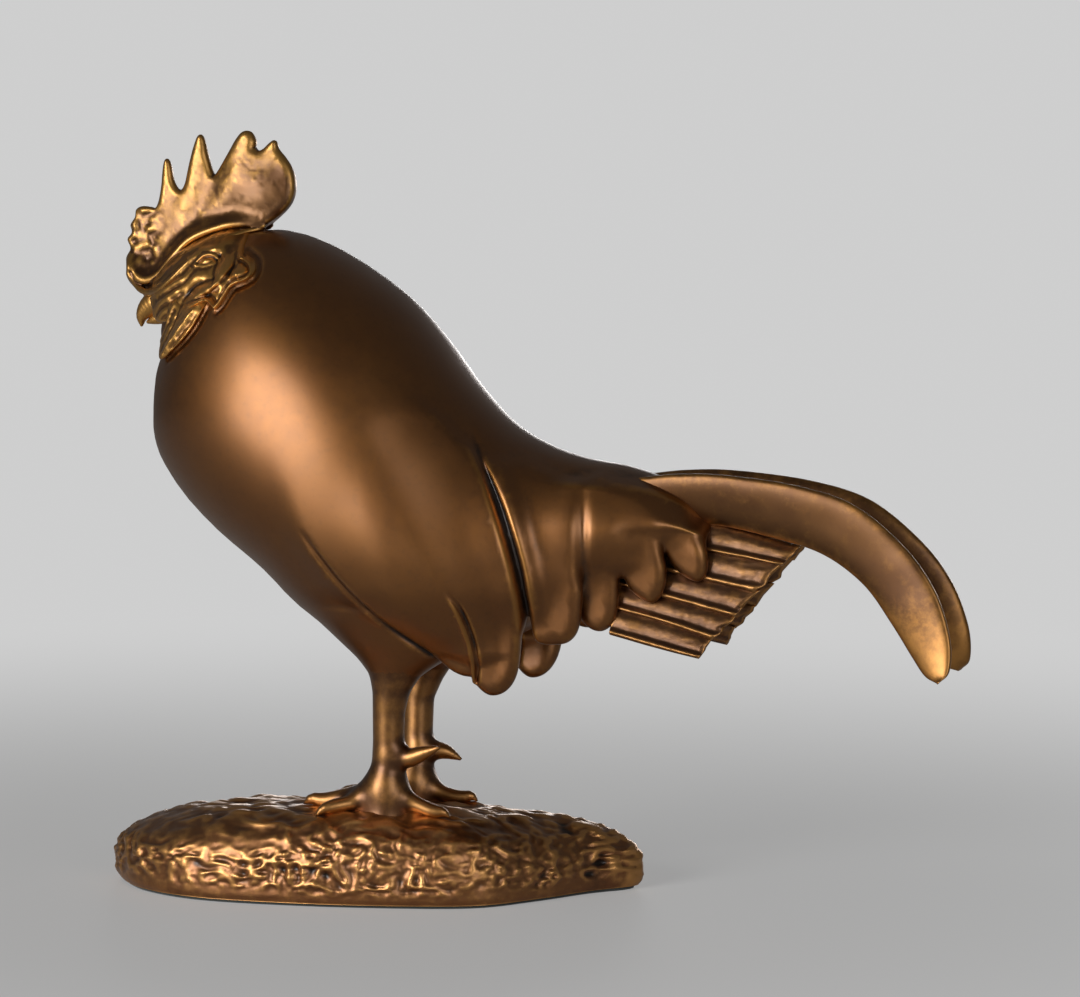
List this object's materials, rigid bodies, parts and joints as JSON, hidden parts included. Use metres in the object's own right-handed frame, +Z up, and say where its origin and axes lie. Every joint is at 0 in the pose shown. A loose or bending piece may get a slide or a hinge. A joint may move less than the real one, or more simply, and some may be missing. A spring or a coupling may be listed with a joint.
{
  "type": "rooster figurine",
  "caption": "Cast bronze rooster standing on a rock-like base, with a crested head, swelling breast, lobed wings and long curved sickle feathers.",
  "frame": {"origin": "middle of the underside of the felt, where the figure rests", "axes": "+Z up, the bird looks along -X, its left side is towards -Y"},
  "size_m": [0.3818, 0.1308, 0.3312],
  "materials": {
    "patina": "satin",
    "rubbed_gold": "satin",
    "rock_bronze": "satin",
    "steel": "brushed",
    "felt": "matte"
  },
  "bodies": {
    "root": {"body_shell": "patina", "wing_front_left": "patina", "wing_front_right": "patina", "wing_rear_left": "patina", "wing_rear_right": "patina", "flank_feather_left": "patina", "flank_feather_right": "patina", "saddle_front_left": "patina", "saddle_front_right": "patina", "saddle_middle_left": "patina", "saddle_middle_right": "patina", "saddle_rear_left": "patina", "saddle_rear_right": "patina", "sickle_left": "patina", "sickle_right": "patina", "tail_fan_left": "rubbed_gold", "tail_fan_right": "rubbed_gold", "leg_left": "patina", "leg_right": "patina", "head": "rubbed_gold", "comb": "rubbed_gold", "beak_upper": "rubbed_gold", "beak_lower": "rubbed_gold", "wattle_left": "rubbed_gold", "wattle_right": "rubbed_gold", "base_rock": "rock_bronze", "base_cover": "steel", "base_felt": "felt", "cover_screw_1": "steel", "cover_screw_2": "steel", "cover_screw_3": "steel", "cover_screw_4": "steel", "stud_left": "steel", "stud_right": "steel", "washer_left": "steel", "washer_right": "steel", "nut_left": "steel", "nut_right": "steel"}
  },
  "joints": []
}
